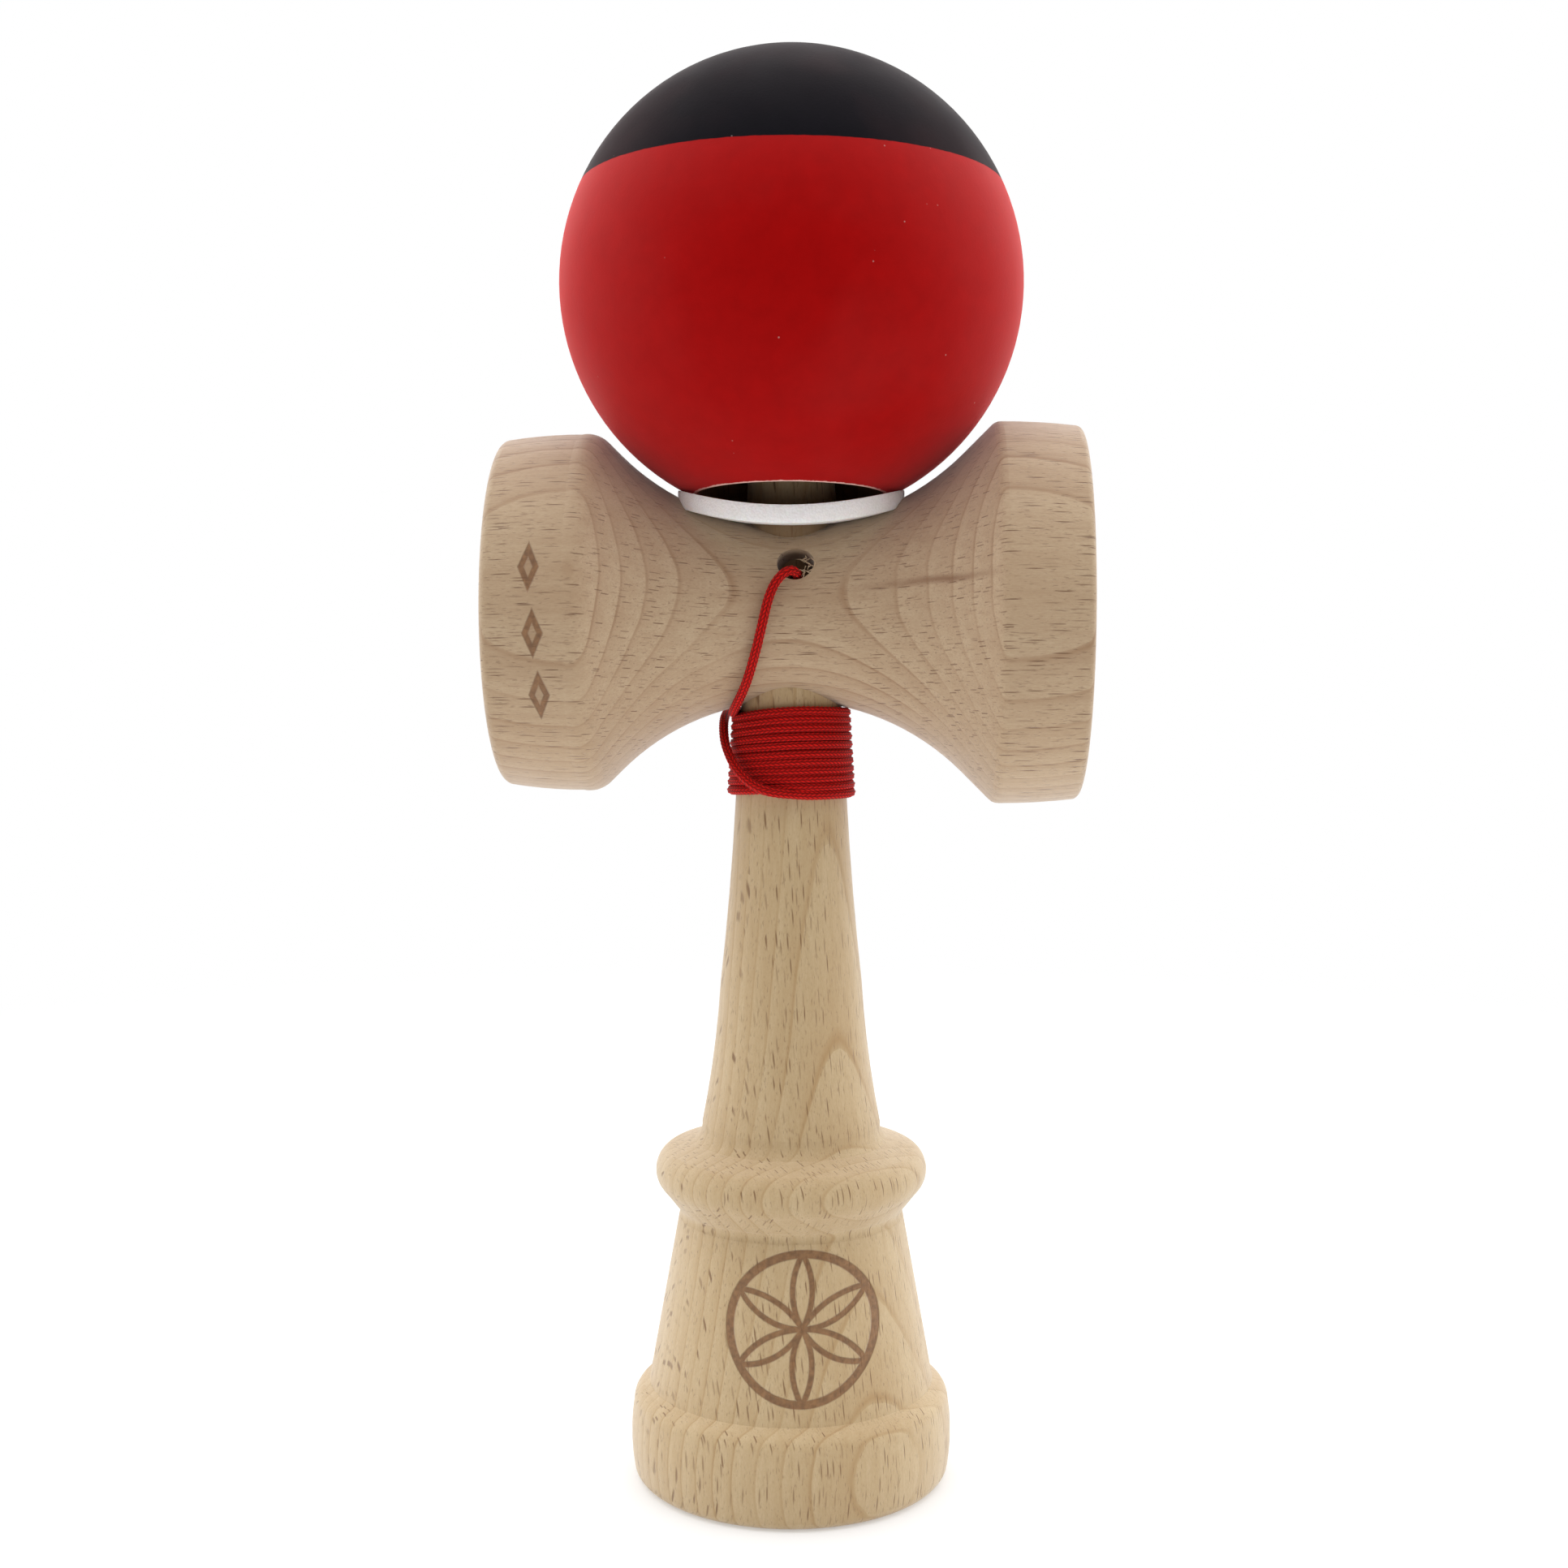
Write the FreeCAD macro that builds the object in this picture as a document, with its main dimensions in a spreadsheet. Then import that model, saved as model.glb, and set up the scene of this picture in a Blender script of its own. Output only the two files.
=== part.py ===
import FreeCAD, Part
import math
import os

import Sketcher
from FreeCAD import Placement, Rotation, Vector

# A kendama (cup-and-ball skill toy), standing upright on its base cup.
#
# Frame: millimetres, origin at the centre of the base rim on the table, +Z up along the ken,
# X along the cross-cup's axis (big cup at +X), -Y the side with the string hole.
#
# Real pieces: the turned ken, the cross-cup (sarado) pressed on to its shaft, the ball (tama)
# on the spike, one braided string with a stopper knot at each end, the bead that the string
# is tied under inside the ball, and a foam washer that protects the ball in transit.

# Every outline below is a list of corners: (name, distance from the turning axis, place along
# that axis, radius of the arc to the next corner). A positive radius bulges to the right of
# the direction of travel, a negative one to the left, and 0 is a straight line. DOME is an
# arc that meets the axis: its centre lies on the axis, so its two corners give its radius.
DOME = math.inf
KEN_OUTLINE = [
    ("base_dish", 0, 8.5, -DOME),
    ("base_rim_inner", 18.2, 0, 0),
    ("base_rim_outer", 19.6, 0, 1.7),
    ("lip_low", 21.2, 1.6, 26),
    ("lip_high", 21.2, 10.1, 2.6),
    ("lip_top", 19.75, 12.4, 0),
    ("bell_foot", 19.1, 12.9, 0),
    ("bell_top", 15.05, 35.4, -1.2),
    ("collar_foot", 15.3, 36.9, 0),
    ("collar_low", 17.1, 39.2, 3.4),
    ("collar_high", 17.75, 43.2, 2.6),
    ("collar_edge", 16.4, 44.5, 0),
    ("collar_top", 12.9, 45.7, -2.6),
    ("handle_foot", 11.9, 48.0, -140),
    ("handle_mid", 9.4, 67, -400),
    ("handle_top", 7.4, 90.7, 0),
    ("shaft_foot", 6.63, 103.4, 0),
    ("shaft_head", 5.98, 128.2, 0),
    ("spike_mid", 4.9, 145, 90),
    ("spike_shoulder", 2.9, 160.6, DOME),
    ("spike_tip", 0, 163.2, 0),
]
CUP_OUTLINE = [
    ("small_dish", 0, -28.5, DOME),
    ("small_rim_inner", 20.4, -37.5, 0),
    ("small_rim_outer", 21.5, -37.5, -1.2),
    ("small_wall_end", 22.6, -36.5, -60),
    ("small_wall_start", 23.3, -27.2, -3.6),
    ("small_flare_end", 22.3, -23.93, 0),
    ("small_flare_start", 20.77, -22.4, 31.7),
    ("big_flare_start", 20.77, 22.4, 0),
    ("big_flare_end", 24.35, 25.98, -1.6),
    ("big_wall_start", 24.85, 27.2, -80),
    ("big_wall_end", 24.3, 36.7, -0.9),
    ("big_rim_outer", 23.4, 37.5, 0),
    ("big_rim_inner", 22.2, 37.5, DOME),
    ("big_dish", 0, 26.6, 0),
]
SIZES = [
    ("cup_axis_height", 115.8, "height of the cross-cup's axis"),
    ("hole_rise", 34, "angle of the string hole above the horizontal, degrees"),
    ("hole_side", 0.85, "string hole's offset along the cross-cup"),
    ("cup_hole_radius", 2.35, "string hole through the cross-cup's wall"),
    ("cup_hole_reach", 15, "how far that hole is drilled out from the axis"),
    ("ken_hole_radius", 1.0, "string hole through the ken's shaft"),
    ("knot_pocket_radius", 2.1, "pocket behind the ken's string hole"),
    ("knot_pocket_floor", 2.5, "pocket's floor, behind the ken's axis"),
    ("knot_pocket_reach", 6, "how far the pocket is drilled"),
    ("ball_radius", 30, "standard 60 mm ball"),
    ("ball_height", 158.1, "height of the ball's centre at rest"),
    ("ball_lean", 6, "lean of the ball's bore away from the ken's axis, degrees"),
    ("bore_radius", 12, "ball's bore"),
    ("bore_top", 17, "bore's end, above the ball's centre"),
    ("bore_corner", 1.5, "rounding at the bore's end"),
    ("mouth_radius", 12.4, "bore's broken edge at the ball's surface"),
    ("top_hole_radius", 1.5, "string hole through the top of the ball"),
    ("sink_radius", 3.2, "countersink round that hole"),
    ("sink_depth", 1.9, "countersink's depth below the ball's pole"),
    ("bead_hole_radius", 0.9, "hole through the bead"),
    ("bead_face_radius", 1.7, "bead's flat end"),
    ("bead_half", 2.4, "half the bead's length"),
    ("bead_round", 2.6, "radius of the bead's rounded side"),
    ("bead_gap", 0.4, "play between the bead and the bore's end"),
    ("knot_radius", 1.5, "stopper knots"),
    ("washer_radius", 14.8, "foam washer, outside"),
    ("washer_hole", 6.8, "foam washer, inside"),
    ("washer_top", 129.5, "washer's upper side above the ken's axis"),
    ("washer_bend", 45, "bend of the washer's upper side"),
    ("ball_play", 0.25, "play between the washer and the ball"),
    ("cord_radius", 0.6, "braided string"),
    ("winding_low", 91.5, "underside of the wound string"),
    ("winding_high", 103.0, "top of the wound string"),
    ("winding_low_radius", 8.5, "wound string's outside, at its underside"),
    ("winding_high_radius", 7.8, "wound string's outside, at its top"),
    ("winding_play", 0.05, "play between the wound string and the ken"),
]

# The string's route, as control points of its centre line. It leaves the knot behind the
# ken's shaft, comes out of the string hole, goes down over the waist and round the handle,
FRONT_STRAND = [
    (0.85, 2.2, 114.32),
    (0.95, -5.2, 119.2),
    (1.3, -9.9, 120.9),
    (0.1, -11.7, 121.5),
    (-1.5, -12.0, 120.1),
    (-2.5, -12.3, 117.8),
    (-3.1, -12.6, 115.1),
    (-4.0, -12.2, 111.3),
    (-5.3, -10.0, 107.0),
    (-6.7, -6.1, 104.1),
    (-7.15, -2.8, 102.7),
]
# comes off the bottom turn, climbs over the turns, passes behind the cross-cup's waist
TAIL_STRAND = [
    (-1.0, -8.7, 92.25),
    (-3.7, -8.7, 93.1),
    (-6.2, -7.2, 94.6),
    (-7.9, -5.4, 96.2),
    (-9.1, -3.3, 98.3),
    (-9.6, -0.9, 100.4),
    (-9.4, 2.1, 102.0),
    (-8.8, 5.7, 102.6),
    (-8.1, 9.6, 104.5),
    (-7.5, 12.6, 108.6),
    (-6.9, 15.4, 115.6),
    (-6.0, 19.6, 125.0),
    (-5.2, 21.8, 129.4),
]
# and runs up the back of the ball, over its pole and down through the bead to the last knot.
BALL_STRAND = [
    (-5.16, 21.91, 129.62),
    (-4.3, 25.9, 137.5),
    (-3.7, 30.0, 147.5),
    (-3.0, 32.2, 159.0),
    (-2.1, 29.8, 170.6),
    (-1.2, 23.2, 180.2),
    (-0.5, 14.3, 186.9),
    (-0.1, 8.4, 189.0),
    (0.0, 4.3, 189.5),
    (0.0, 2.55, 184.2),
    (0.0, 2.0, 177.0),
    (0.0, 1.24, 169.93),
]
ARC_SHARE = 0.45
SHEET = "sizes"


def fill_sheet(doc):
    """One row per driving dimension: its meaning, its value and its alias."""
    sheet = doc.addObject("Spreadsheet::Sheet", SHEET)
    rows = list(SIZES)
    for prefix, outline in (("ken", KEN_OUTLINE), ("cup", CUP_OUTLINE)):
        for name, radius, place, bend in outline:
            rows.append((f"{prefix}_{name}_radius", radius, "distance from the axis"))
            rows.append((f"{prefix}_{name}_place", place, "place along the axis"))
            if bend and abs(bend) != DOME:
                rows.append((f"{prefix}_{name}_bend", abs(bend), "arc to the next corner"))
    for row, (alias, value, meaning) in enumerate(rows, start=1):
        sheet.set(f"A{row}", meaning)
        sheet.set(f"B{row}", str(value))
        sheet.setAlias(f"B{row}", alias)
    doc.recompute()
    return sheet


def corner(value, cells, bend=0, bend_cell=None):
    """A corner whose two coordinates, and the arc that follows it, obey formulas on the sheet."""
    return {"at": value, "cells": cells, "bend": bend, "bend_cell": bend_cell}


def dome_radius(first, second):
    """Radius of the sphere about the axis through two corners, one of them on the axis."""
    across, along = first[0] - second[0], first[1] - second[1]
    return (across**2 + along**2) / (2 * abs(along))


def outline_corners(prefix, outline):
    """A turned piece's corners, each with the cells that hold it."""
    corners = []
    for (name, radius, place, bend), following in zip(outline, outline[1:] + outline[:1]):
        cells = [f"{SHEET}.{prefix}_{name}_{size}" for size in ("radius", "place", "bend")]
        if abs(bend) == DOME:
            cells[2] = None
            bend = math.copysign(dome_radius((radius, place), following[1:3]), bend)
        corners.append(corner((radius, place), cells[:2], bend, cells[2]))
    return corners


def arc_between(start, end, bend):
    """The arc of a circle from start to end, and whether it is drawn from end to start."""
    middle = (start + end) / 2
    chord = end - start
    side = Vector(-chord.y, chord.x, 0).normalize() * math.copysign(1, bend)
    rise = math.sqrt(max(bend**2 - chord.Length**2 / 4, 0))
    centre = middle + side * rise
    first, last = (start, end) if bend > 0 else (end, start)
    angles = [math.atan2(p.y - centre.y, p.x - centre.x) for p in (first, last)]
    if angles[1] < angles[0]:
        angles[1] += 2 * math.pi
    circle = Part.Circle(centre, Vector(0, 0, 1), abs(bend))
    return Part.ArcOfCircle(circle, *angles), bend < 0


def base_plane(body, role):
    """The body's own origin plane with that role."""
    return next(f for f in body.Origin.OriginFeatures if f.Role == role)


def new_sketch(body, name, role):
    sketch = body.newObject("Sketcher::SketchObject", name)
    sketch.AttachmentSupport = [(base_plane(body, role), "")]
    sketch.MapMode = "FlatFace"
    return sketch


def bind_point(sketch, geometry, end, axis, value, cell):
    """Holds one coordinate of a corner at its cell, or on the axis where it is zero."""
    if value == 0:
        line = -2 if axis == "X" else -1
        sketch.addConstraint(Sketcher.Constraint("PointOnObject", geometry, end, line))
        return
    ends = (-1, 1, geometry, end) if value > 0 else (geometry, end, -1, 1)
    index = sketch.addConstraint(Sketcher.Constraint(f"Distance{axis}", *ends, abs(value)))
    sketch.setExpression(f"Constraints[{index}]", cell if value > 0 else f"-({cell})")


def bind_arc(sketch, geometry, item, along_x):
    """Holds an arc's radius at its cell, or its centre on the turning axis."""
    if item["bend_cell"] is None:
        axis_line = -1 if along_x else -2
        sketch.addConstraint(Sketcher.Constraint("PointOnObject", geometry, 3, axis_line))
        return
    bend = Sketcher.Constraint("Radius", geometry, abs(item["bend"]))
    sketch.setExpression(f"Constraints[{sketch.addConstraint(bend)}]", item["bend_cell"])


def draw_outline(sketch, corners, along_x=False):
    """A closed outline through the corners, every corner and arc bound to the sheet.
    The turning axis is the sketch's vertical axis, or its horizontal one with along_x."""
    points = [Vector(*(c["at"][::-1] if along_x else c["at"]), 0) for c in corners]
    starts = []
    for number, item in enumerate(corners):
        start, end = points[number], points[(number + 1) % len(points)]
        if item["bend"]:
            curve, backwards = arc_between(start, end, item["bend"])
            geometry = sketch.addGeometry(curve)
        else:
            geometry, backwards = sketch.addGeometry(Part.LineSegment(start, end)), False
        starts.append((geometry, 2 if backwards else 1, 1 if backwards else 2))
    for number, (geometry, _, end) in enumerate(starts):
        following = starts[(number + 1) % len(starts)]
        sketch.addConstraint(Sketcher.Constraint("Coincident", geometry, end, *following[:2]))
    for (geometry, start, _), item, point in zip(starts, corners, points):
        cells = item["cells"][::-1] if along_x else item["cells"]
        bind_point(sketch, geometry, start, "X", point.x, cells[0])
        bind_point(sketch, geometry, start, "Y", point.y, cells[1])
        if item["bend"]:
            bind_arc(sketch, geometry, item, along_x)


def turn(body, sketch, name, axis="V_Axis", cut=False):
    """A full revolution of the sketch about one of its axes, added or cut away."""
    feature = body.newObject("PartDesign::Groove" if cut else "PartDesign::Revolution", name)
    feature.Profile = sketch
    feature.ReferenceAxis = (sketch, [axis])
    feature.Angle = 360
    sketch.Visibility = False
    return feature


def tilted_circle(body, name, radius_cell, height_cell, depth_cell="0"):
    """A circle square to the string hole, which rises towards -Y through the cross-cup's axis."""
    sketch = new_sketch(body, name, "XZ_Plane")
    circle = Part.Circle(Vector(0, 0, 0), Vector(0, 0, 1), 1)
    sketch.addGeometry(circle)
    sketch.addConstraint(Sketcher.Constraint("Coincident", 0, 3, -1, 1))
    sketch.addConstraint(Sketcher.Constraint("Radius", 0, 1))
    sketch.setExpression("Constraints[1]", radius_cell)
    sketch.AttachmentOffset = Placement(Vector(0, 0, 0), Rotation(Vector(1, 0, 0), -1))
    rise = f"{SHEET}.hole_rise * 1 deg"
    sketch.setExpression("AttachmentOffset.Rotation.Angle", f"-({rise})")
    sketch.setExpression("AttachmentOffset.Base.x", f"{SHEET}.hole_side")
    sketch.setExpression("AttachmentOffset.Base.y", f"{height_cell} - {depth_cell} * sin({rise})")
    sketch.setExpression("AttachmentOffset.Base.z", f"-{depth_cell} * cos({rise})")
    return sketch


def drill(body, sketch, name, length_cell=None, outwards=False):
    """A hole from the sketch, through everything both ways or a length one way."""
    pocket = body.newObject("PartDesign::Pocket", name)
    pocket.Profile = sketch
    if length_cell is None:
        pocket.Type = "ThroughAll"
        pocket.Midplane = True
    else:
        pocket.Type = "Length"
        pocket.Reversed = outwards
        pocket.setExpression("Length", length_cell)
    return pocket


def make_ken(doc):
    """The turned ken: base cup, bell, collar, handle, shaft and spike in one piece."""
    body = doc.addObject("PartDesign::Body", "ken")
    outline = new_sketch(body, "ken_outline", "XZ_Plane")
    draw_outline(outline, outline_corners("ken", KEN_OUTLINE))
    turn(body, outline, "ken_turning")
    height = f"{SHEET}.cup_axis_height"
    hole = tilted_circle(body, "ken_hole_circle", f"{SHEET}.ken_hole_radius", height)
    drill(body, hole, "ken_string_hole")
    floor = f"{SHEET}.knot_pocket_floor"
    pocket = tilted_circle(body, "knot_circle", f"{SHEET}.knot_pocket_radius", height, floor)
    drill(body, pocket, "knot_pocket", f"{SHEET}.knot_pocket_reach")
    return body


def make_cross_cup(doc):
    """The cross-cup, turned about its own X axis, with the taper hole for the ken's shaft."""
    body = doc.addObject("PartDesign::Body", "sarado")
    outline = new_sketch(body, "cup_outline", "XZ_Plane")
    draw_outline(outline, outline_corners("cup", CUP_OUTLINE), along_x=True)
    turn(body, outline, "cup_turning", axis="H_Axis")
    taper = new_sketch(body, "taper_outline", "XZ_Plane")
    ends = {}
    for end in ("shaft_foot", "shaft_head"):
        place = f"{SHEET}.ken_{end}_place - {SHEET}.cup_axis_height"
        name, radius, height, _ = next(c for c in KEN_OUTLINE if c[0] == end)
        local = height - dict(row[:2] for row in SIZES)["cup_axis_height"]
        ends[end] = (
            corner((0, local), ("0", place)),
            corner((radius, local), (f"{SHEET}.ken_{name}_radius", place)),
        )
    foot, head = ends["shaft_foot"], ends["shaft_head"]
    draw_outline(taper, [foot[0], foot[1], head[1], head[0]])
    turn(body, taper, "taper_hole", cut=True)
    radius, reach = f"{SHEET}.cup_hole_radius", f"{SHEET}.cup_hole_reach"
    hole = tilted_circle(body, "cup_hole_circle", radius, "0")
    drill(body, hole, "cup_string_hole", reach, outwards=True)
    body.setExpression("Placement.Base.z", f"{SHEET}.cup_axis_height")
    return body


def lean_with_ball(piece, offset="0"):
    """Puts a piece on the ball's leaning axis, offset above the ball's centre."""
    lean = f"{SHEET}.ball_lean * 1 deg"
    piece.Placement = Placement(Vector(0, 0, 0), Rotation(Vector(1, 0, 0), -1))
    piece.setExpression("Placement.Rotation.Angle", f"-({lean})")
    piece.setExpression("Placement.Base.y", f"({offset}) * sin({lean})")
    piece.setExpression("Placement.Base.z", f"{SHEET}.ball_height + ({offset}) * cos({lean})")


def make_ball(doc, sheet):
    """The ball, with its bore from below and the string hole at its pole."""
    body = doc.addObject("PartDesign::Body", "tama")
    cell = {n: f"{SHEET}.{n}" for n, _, _ in SIZES}
    sink_edge = f"sqrt({cell['ball_radius']}^2 - {cell['sink_radius']}^2)"
    mouth_edge = f"-sqrt({cell['ball_radius']}^2 - {cell['mouth_radius']}^2)"
    bore_edge = f"{mouth_edge} + {cell['mouth_radius']} - {cell['bore_radius']}"
    sink_floor = f"{cell['ball_radius']} - {cell['sink_depth']}"
    sink_place = math.sqrt(sheet.ball_radius**2 - sheet.sink_radius**2)
    mouth_place = -math.sqrt(sheet.ball_radius**2 - sheet.mouth_radius**2)
    bore_place = mouth_place + sheet.mouth_radius - sheet.bore_radius
    corner_radius = sheet.bore_radius - sheet.bore_corner
    corner_cell = f"{cell['bore_radius']} - {cell['bore_corner']}"
    corners = [
        corner(
            (sheet.mouth_radius, mouth_place),
            (cell["mouth_radius"], mouth_edge),
            sheet.ball_radius,
            cell["ball_radius"],
        ),
        corner((sheet.sink_radius, sink_place), (cell["sink_radius"], sink_edge)),
        corner(
            (sheet.top_hole_radius, sheet.ball_radius - sheet.sink_depth),
            (cell["top_hole_radius"], sink_floor),
        ),
        corner((sheet.top_hole_radius, sheet.bore_top), (cell["top_hole_radius"], cell["bore_top"])),
        corner(
            (corner_radius, sheet.bore_top),
            (corner_cell, cell["bore_top"]),
            -sheet.bore_corner,
            cell["bore_corner"],
        ),
        corner(
            (sheet.bore_radius, sheet.bore_top - sheet.bore_corner),
            (cell["bore_radius"], f"{cell['bore_top']} - {cell['bore_corner']}"),
        ),
        corner((sheet.bore_radius, bore_place), (cell["bore_radius"], bore_edge)),
    ]
    outline = new_sketch(body, "ball_outline", "XZ_Plane")
    draw_outline(outline, corners)
    turn(body, outline, "ball_turning")
    lean_with_ball(body)
    return body


def make_bead(doc, sheet):
    """The wooden bead inside the ball that the string is tied under."""
    body = doc.addObject("PartDesign::Body", "string_bead")
    hole, face, half = (f"{SHEET}.bead_{n}" for n in ("hole_radius", "face_radius", "half"))
    corners = [
        corner((sheet.bead_hole_radius, -sheet.bead_half), (hole, f"-{half}")),
        corner(
            (sheet.bead_face_radius, -sheet.bead_half),
            (face, f"-{half}"),
            sheet.bead_round,
            f"{SHEET}.bead_round",
        ),
        corner((sheet.bead_face_radius, sheet.bead_half), (face, half)),
        corner((sheet.bead_hole_radius, sheet.bead_half), (hole, half)),
    ]
    outline = new_sketch(body, "bead_outline", "XZ_Plane")
    draw_outline(outline, corners)
    turn(body, outline, "bead_turning")
    lean_with_ball(body, f"{SHEET}.bore_top - {SHEET}.bead_gap - {SHEET}.bead_half")
    return body


def make_knots(doc):
    """The string's stopper knots: one under the bead, one in the pocket behind the shaft."""
    below_bead = "bore_top - {0}.bead_gap - 2 * {0}.bead_half - {0}.knot_radius"
    ball_knot = doc.addObject("Part::Sphere", "ball_end_knot")
    lean_with_ball(ball_knot, f"{SHEET}." + below_bead.format(SHEET))
    ken_knot = doc.addObject("Part::Sphere", "ken_end_knot")
    behind = f"({SHEET}.knot_pocket_floor + {SHEET}.knot_radius + 0.1)"
    rise = f"{SHEET}.hole_rise * 1 deg"
    ken_knot.setExpression("Placement.Base.x", f"{SHEET}.hole_side")
    ken_knot.setExpression("Placement.Base.y", f"{behind} * cos({rise})")
    ken_knot.setExpression(
        "Placement.Base.z", f"{SHEET}.cup_axis_height - {behind} * sin({rise})"
    )
    for knot in (ball_knot, ken_knot):
        knot.setExpression("Radius", f"{SHEET}.knot_radius")
    return [ball_knot, ken_knot]


def lying_cylinder(doc, name, radius_cell, height_cell):
    """A cylinder along Y across the whole washer, its axis above the ken's axis."""
    cylinder = doc.addObject("Part::Cylinder", name)
    cylinder.Placement = Placement(Vector(0, 0, 0), Rotation(Vector(1, 0, 0), 90))
    cylinder.setExpression("Radius", radius_cell)
    cylinder.setExpression("Height", f"4 * {SHEET}.washer_radius")
    cylinder.setExpression("Placement.Base.y", f"2 * {SHEET}.washer_radius")
    cylinder.setExpression("Placement.Base.z", height_cell)
    return cylinder


def boolean(doc, kind, name, base, tool):
    feature = doc.addObject(kind, name)
    feature.Base, feature.Tool = base, tool
    return feature


def make_washer(doc):
    """The foam washer, bent into the valley of the cross-cup and squeezed by the ball."""
    ring_sides = []
    for name, cell in (("washer_disc", "washer_radius"), ("washer_core", "washer_hole")):
        disc = doc.addObject("Part::Cylinder", name)
        disc.setExpression("Radius", f"{SHEET}.{cell}")
        disc.setExpression("Height", f"{SHEET}.ball_radius")
        disc.setExpression("Placement.Base.z", f"{SHEET}.cup_axis_height")
        ring_sides.append(disc)
    ring = boolean(doc, "Part::Cut", "washer_ring", *ring_sides)
    valley_bend = f"{SHEET}.cup_small_flare_start_bend"
    flare = f"{SHEET}.cup_small_flare_start"
    axis = f"{SHEET}.cup_axis_height + {flare}_radius + sqrt({valley_bend}^2 - {flare}_place^2)"
    valley = lying_cylinder(doc, "washer_valley", valley_bend, axis)
    lying = boolean(doc, "Part::Common", "washer_lying", ring, valley)
    top_axis = f"{SHEET}.washer_top + {SHEET}.washer_bend"
    above = lying_cylinder(doc, "washer_above", f"{SHEET}.washer_bend", top_axis)
    sheet_form = boolean(doc, "Part::Cut", "washer_sheet", lying, above)
    ball = doc.addObject("Part::Sphere", "washer_ball")
    ball.setExpression("Radius", f"{SHEET}.ball_radius + {SHEET}.ball_play")
    ball.setExpression("Placement.Base.z", f"{SHEET}.ball_height")
    return boolean(doc, "Part::Cut", "foam_washer", sheet_form, ball)


def rounded_path(points):
    """Straight runs joined by tangent arcs, each as large as its two runs allow."""
    points = [Vector(*p) for p in points]
    edges, radii, start = [], [], points[0]
    for before, here, after in zip(points, points[1:], points[2:]):
        back, onward = (before - here), (after - here)
        half_turn = (math.pi - back.getAngle(onward)) / 2
        reach = ARC_SHARE * min(back.Length, onward.Length)
        radii.append(reach / math.tan(half_turn))
        back.normalize()
        onward.normalize()
        first, last = here + back * reach, here + onward * reach
        inward = (back + onward).normalize()
        middle = here + inward * radii[-1] * (1 / math.cos(half_turn) - 1)
        edges.append(Part.LineSegment(start, first).toShape())
        edges.append(Part.Arc(first, middle, last).toShape())
        start = last
    edges.append(Part.LineSegment(start, points[-1]).toShape())
    return Part.Wire(edges), radii


def make_strand(doc, sheet, name, points):
    """A plain tube along one free stretch of the string."""
    path, radii = rounded_path(points)
    start, onward = Vector(*points[0]), Vector(*points[1]) - Vector(*points[0])
    section = Part.Wire(Part.Circle(start, onward, sheet.cord_radius).toShape())
    tube = path.makePipeShell([section], True, False)
    expected = math.pi * sheet.cord_radius**2 * path.Length
    runs = [(Vector(*b) - Vector(*a)).Length for a, b in zip(points, points[1:])]
    print(f"{name}: length {path.Length:.1f}, volume {tube.Volume:.2f} of {expected:.2f}")
    print("  radii", [round(r, 1) for r in radii], "runs", [round(r, 1) for r in runs])
    if abs(tube.Volume / expected - 1) > 0.01:
        raise ValueError(f"{name}: the tube's volume doesn't match its length")
    strand = doc.addObject("Part::Feature", name)
    strand.Shape = tube
    return strand


def make_winding(doc, sheet):
    """The outer shape of the string wound round the handle, as one sleeve."""
    body = doc.addObject("PartDesign::Body", "cord_winding")
    top, foot = f"{SHEET}.ken_handle_top", f"{SHEET}.ken_shaft_foot"
    slope = f"({foot}_radius - {top}_radius) / ({foot}_place - {top}_place)"
    rise = sheet.ken_shaft_foot_place - sheet.ken_handle_top_place
    steepness = (sheet.ken_shaft_foot_radius - sheet.ken_handle_top_radius) / rise
    corners = []
    for end in ("low", "high"):
        place = getattr(sheet, f"winding_{end}")
        cell = f"{SHEET}.winding_{end}"
        inner = sheet.ken_handle_top_radius + steepness * (place - sheet.ken_handle_top_place)
        inner_cell = f"{top}_radius + {slope} * ({cell} - {top}_place) + {SHEET}.winding_play"
        outer = getattr(sheet, f"winding_{end}_radius")
        ring = [
            corner((inner + sheet.winding_play, place), (inner_cell, cell)),
            corner((outer, place), (f"{cell}_radius", cell)),
        ]
        corners += ring if end == "low" else ring[::-1]
    outline = new_sketch(body, "winding_outline", "XZ_Plane")
    draw_outline(outline, corners)
    turn(body, outline, "winding_turning")
    return body


def check(doc):
    """Stops if any object of the document failed to compute."""
    doc.recompute()
    for item in doc.Objects:
        if {"Invalid", "Error"} & set(item.State):
            raise ValueError(f"{item.Name} is {item.State}")


def save(parts):
    """Writes each sub-part to its own file after checking its shape."""
    os.makedirs("parts", exist_ok=True)
    for part in parts:
        if part.Shape.isNull() or not part.Shape.isValid() or not part.Shape.Solids:
            raise ValueError(f"{part.Label} has no valid solid")
    for part in parts:
        part.Shape.exportStep(f"parts/{part.Label}.step")
        size = part.Shape.optimalBoundingBox()
        print(f"{part.Label}: {part.Shape.Volume:.1f} mm3, z {size.ZMin:.2f} to {size.ZMax:.2f}")


def main():
    doc = FreeCAD.newDocument("kendama")
    sheet = fill_sheet(doc)
    parts = [make_ken(doc), make_cross_cup(doc), make_ball(doc, sheet), make_bead(doc, sheet)]
    parts += make_knots(doc)
    parts += [make_washer(doc), make_winding(doc, sheet)]
    parts.append(make_strand(doc, sheet, "cord_front_strand", FRONT_STRAND))
    parts.append(make_strand(doc, sheet, "cord_tail_strand", TAIL_STRAND))
    parts.append(make_strand(doc, sheet, "cord_ball_strand", BALL_STRAND))
    check(doc)
    save(parts)


main()
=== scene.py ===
"""The looks of a kendama: beech, a painted ball, a braided string and a foam washer, in a pale studio."""
import math
import random

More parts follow.
